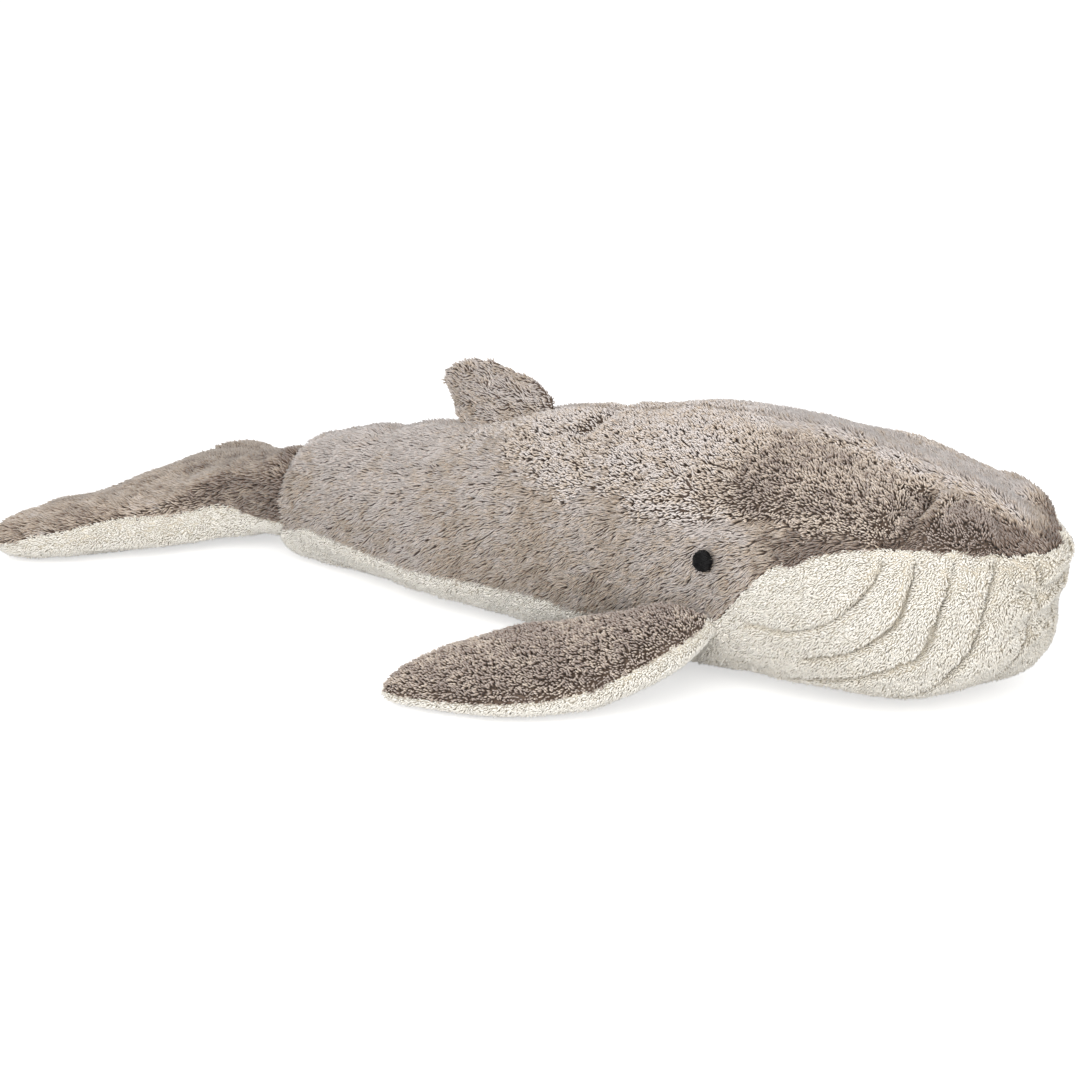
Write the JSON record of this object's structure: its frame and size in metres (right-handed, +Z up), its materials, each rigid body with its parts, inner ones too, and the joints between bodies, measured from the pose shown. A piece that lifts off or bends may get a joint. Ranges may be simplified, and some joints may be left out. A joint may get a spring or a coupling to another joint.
{
  "type": "plush toy whale",
  "caption": "Stuffed plush humpback whale with hinged flippers, tail flukes and dorsal fin, lying on its flat belly.",
  "frame": {"origin": "on the floor under the middle of the overall length, on the whale's centre plane", "axes": "+X from the tail to the snout, +Y to the whale's left, +Z up"},
  "size_m": [0.5854, 0.3474, 0.1294],
  "materials": {
    "taupe_plush": "matte",
    "cream_plush": "matte",
    "stuffing": "matte",
    "eye_thread": "satin"
  },
  "bodies": {
    "body": {"back_panel_right": "taupe_plush", "back_panel_left": "taupe_plush", "belly_panel": "cream_plush", "body_filling": "stuffing", "eye_right": "eye_thread", "eye_left": "eye_thread"},
    "right_flipper": {"right_flipper_top_panel": "taupe_plush", "right_flipper_under_panel": "cream_plush", "right_flipper_filling": "stuffing"},
    "left_flipper": {"left_flipper_top_panel": "taupe_plush", "left_flipper_under_panel": "cream_plush", "left_flipper_filling": "stuffing"},
    "flukes": {"flukes_top_panel": "taupe_plush", "flukes_under_panel": "cream_plush", "flukes_filling": "stuffing"},
    "dorsal_fin": {"dorsal_fin_panel_right": "taupe_plush", "dorsal_fin_panel_left": "taupe_plush", "dorsal_fin_filling": "stuffing"}
  },
  "joints": [
    {"name": "right_flipper_flap", "type": "hinge", "parent": "body", "child": "right_flipper", "pos_m": [0.1135, -0.0819, 0.029], "axis": [-0.9976, 0.0698, 0], "range_deg": [-30, 50]},
    {"name": "left_flipper_flap", "type": "hinge", "parent": "body", "child": "left_flipper", "pos_m": [0.1135, 0.0819, 0.029], "axis": [0.9976, 0.0698, 0], "range_deg": [-30, 50]},
    {"name": "flukes_nod", "type": "hinge", "parent": "body", "child": "flukes", "pos_m": [-0.1805, 0, 0.027], "axis": [0, 1, 0], "range_deg": [-12, 30]},
    {"name": "dorsal_fin_flop", "type": "hinge", "parent": "body", "child": "dorsal_fin", "pos_m": [-0.03143, 0, 0.1035], "axis": [0.9511, 0, 0.309], "range_deg": [-35, 35], "stiffness_Nm_per_rad": 0.02}
  ]
}
